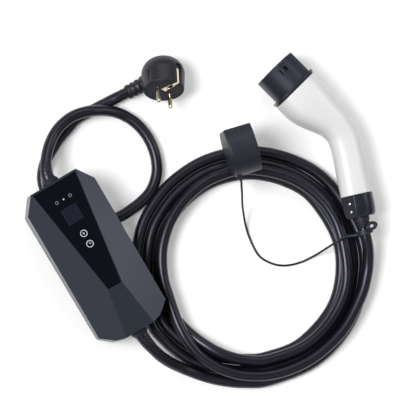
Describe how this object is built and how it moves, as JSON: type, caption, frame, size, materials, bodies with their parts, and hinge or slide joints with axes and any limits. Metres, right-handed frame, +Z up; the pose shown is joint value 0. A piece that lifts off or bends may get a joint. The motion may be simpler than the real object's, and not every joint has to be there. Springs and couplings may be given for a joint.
{
  "type": "portable ev charger",
  "caption": "Portable EV charger: a faceted control box with a display, an input cord with a two-pin mains plug, and a coiled output cord with a vehicle connector and its tethered dust cap.",
  "frame": {"origin": "on the surface that the object lies on, below the middle of the box and the vehicle connector together", "axes": "+Z up from the surface; +X from the control box to the vehicle connector; +Y the way the connector's nose points"},
  "size_m": [0.3761, 0.3974, 0.0849],
  "materials": {
    "box_plastic": "satin",
    "panel_gloss": "gloss",
    "screen_glass": "gloss",
    "light_guide": "gloss",
    "circuit_board": "satin",
    "relay_case": "satin",
    "ferrite": "matte",
    "copper_winding": "satin",
    "terminal_plastic": "matte",
    "steel": "satin",
    "nickel": "satin",
    "silver_plate": "satin",
    "rubber": "matte",
    "cord_sheath": "satin",
    "white_shell": "satin",
    "nose_plastic": "satin",
    "carrier_plastic": "matte",
    "plug_rubber": "matte",
    "cap_rubber": "matte"
  },
  "bodies": {
    "root": {"box_base": "box_plastic", "box_gasket": "rubber", "box_cover": "box_plastic", "display_panel": "panel_gloss", "lcd_screen": "screen_glass", "power_light": "light_guide", "charge_light": "light_guide", "fault_light": "light_guide", "display_board": "circuit_board", "main_board": "circuit_board", "relay_line": "relay_case", "relay_neutral": "relay_case", "leakage_sensor": "ferrite", "transformer": "copper_winding", "capacitor": "ferrite", "input_terminals": "terminal_plastic", "output_terminals": "terminal_plastic", "cover_screw_1": "steel", "cover_screw_2": "steel", "cover_screw_3": "steel", "cover_screw_4": "steel", "input_gland": "rubber", "output_gland": "rubber", "connector_shell": "white_shell", "nose_gasket": "rubber", "connector_nose": "nose_plastic", "contact_carrier": "carrier_plastic", "line_contact": "silver_plate", "neutral_contact": "silver_plate", "earth_contact": "silver_plate", "pilot_contact": "silver_plate", "proximity_contact": "silver_plate", "tail_collar": "nose_plastic", "collar_screw_1": "steel", "collar_screw_2": "steel", "cable_boot": "rubber", "plug_body": "plug_rubber", "plug_face": "plug_rubber", "line_pin": "nickel", "neutral_pin": "nickel", "earth_clip": "nickel", "dust_cap": "cap_rubber", "tether_ring": "cap_rubber", "cap_tether": "cap_rubber", "input_cord": "cord_sheath", "output_lead_box": "cord_sheath", "output_coil": "cord_sheath", "output_lead_connector": "cord_sheath"}
  },
  "joints": []
}
